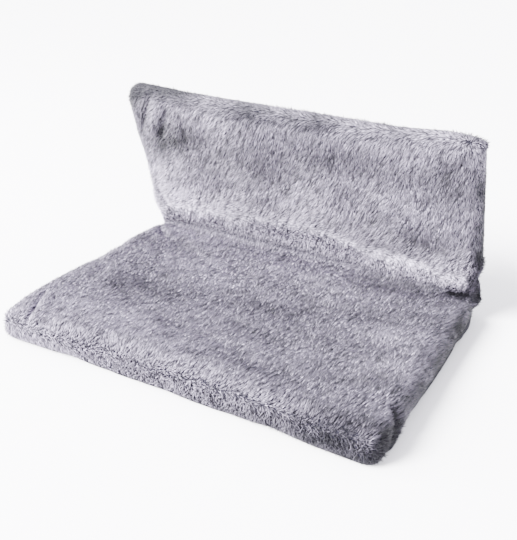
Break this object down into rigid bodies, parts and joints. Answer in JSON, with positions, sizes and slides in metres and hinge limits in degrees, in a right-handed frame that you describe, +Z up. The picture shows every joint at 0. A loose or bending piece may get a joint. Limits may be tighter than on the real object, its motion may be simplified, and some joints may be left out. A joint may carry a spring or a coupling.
{
  "type": "cat window bed",
  "caption": "Grey plush cat bed with a padded seat and back that fold together, sliding clamp hooks behind to hang it over a radiator or window sill.",
  "frame": {"origin": "centre of the seat's flat underside, on the floor", "axes": "+X across the bed to the viewer's right, +Y from the front edge towards the back, +Z up"},
  "size_m": [0.4677, 0.3798, 0.2434],
  "materials": {
    "plush": "short grey plush pile",
    "lining": "grey woven lining",
    "padding": "white polyester wadding",
    "coated_steel": "white powder coat",
    "zinc_steel": "zinc plated",
    "dark_plastic": "moulded plastic",
    "soft_cap": "soft vinyl",
    "nylon": "natural nylon"
  },
  "bodies": {
    "seat": {"seat_hoop": "coated_steel", "seat_padding": "padding", "seat_top_plush": "plush", "seat_underside": "lining", "corner_plush": "plush", "seat_hinge_lug_left": "coated_steel", "hinge_bolt_left": "zinc_steel", "hinge_washer_left": "nylon", "hinge_nut_left": "zinc_steel", "seat_hinge_lug_right": "coated_steel", "hinge_bolt_right": "zinc_steel", "hinge_washer_right": "nylon", "hinge_nut_right": "zinc_steel"},
    "back": {"back_hoop": "coated_steel", "back_padding": "padding", "back_front_plush": "plush", "back_heel_plush": "plush", "back_rear_panel": "lining", "hook_rail": "coated_steel", "zip_tape_upper": "lining", "zip_tape_lower": "lining", "zip_coil": "dark_plastic", "back_hinge_lug_left": "coated_steel", "hook_arm_left": "coated_steel", "zip_stop_left": "zinc_steel", "back_hinge_lug_right": "coated_steel", "hook_arm_right": "coated_steel", "zip_stop_right": "zinc_steel", "hook_rivet_left_lower": "zinc_steel", "hook_rivet_left_upper": "zinc_steel", "hook_rivet_right_lower": "zinc_steel", "hook_rivet_right_upper": "zinc_steel"},
    "claw_left": {"hook_claw_left": "coated_steel", "claw_cap_left": "soft_cap", "clamp_bolt_left": "zinc_steel"},
    "knob_left": {"clamp_knob_left": "dark_plastic"},
    "claw_right": {"hook_claw_right": "coated_steel", "claw_cap_right": "soft_cap", "clamp_bolt_right": "zinc_steel"},
    "knob_right": {"clamp_knob_right": "dark_plastic"},
    "zip_slider": {"zip_slider": "zinc_steel"},
    "zip_puller": {"zip_puller": "zinc_steel"}
  },
  "joints": [
    {"name": "fold", "type": "hinge", "parent": "seat", "child": "back", "pos_m": [0, 0.156, 0.036], "axis": [1, 0, 0], "range_deg": [-19, 69.5], "deforming": ["corner_plush"]},
    {"name": "claw_slide_left", "type": "slide", "parent": "back", "child": "claw_left", "axis": [0, 0.9455, 0.3256], "range_m": [0, 0.04]},
    {"name": "knob_turn_left", "type": "hinge", "parent": "claw_left", "child": "knob_left", "pos_m": [-0.12, 0.15378, 0.17759], "axis": [0, -0.3256, 0.9455], "range_deg": [0, 360]},
    {"name": "claw_slide_right", "type": "slide", "parent": "back", "child": "claw_right", "axis": [0, 0.9455, 0.3256], "range_m": [0, 0.04]},
    {"name": "knob_turn_right", "type": "hinge", "parent": "claw_right", "child": "knob_right", "pos_m": [0.12, 0.15378, 0.17759], "axis": [0, -0.3256, 0.9455], "range_deg": [0, 360]},
    {"name": "zip_slide", "type": "slide", "parent": "back", "child": "zip_slider", "axis": [-1, 0, 0], "range_m": [0, 0.355]},
    {"name": "puller_swing", "type": "hinge", "parent": "zip_slider", "child": "zip_puller", "pos_m": [0.1755, 0.18312, 0.06014], "axis": [1, 0, 0], "range_deg": [0, 150]}
  ]
}
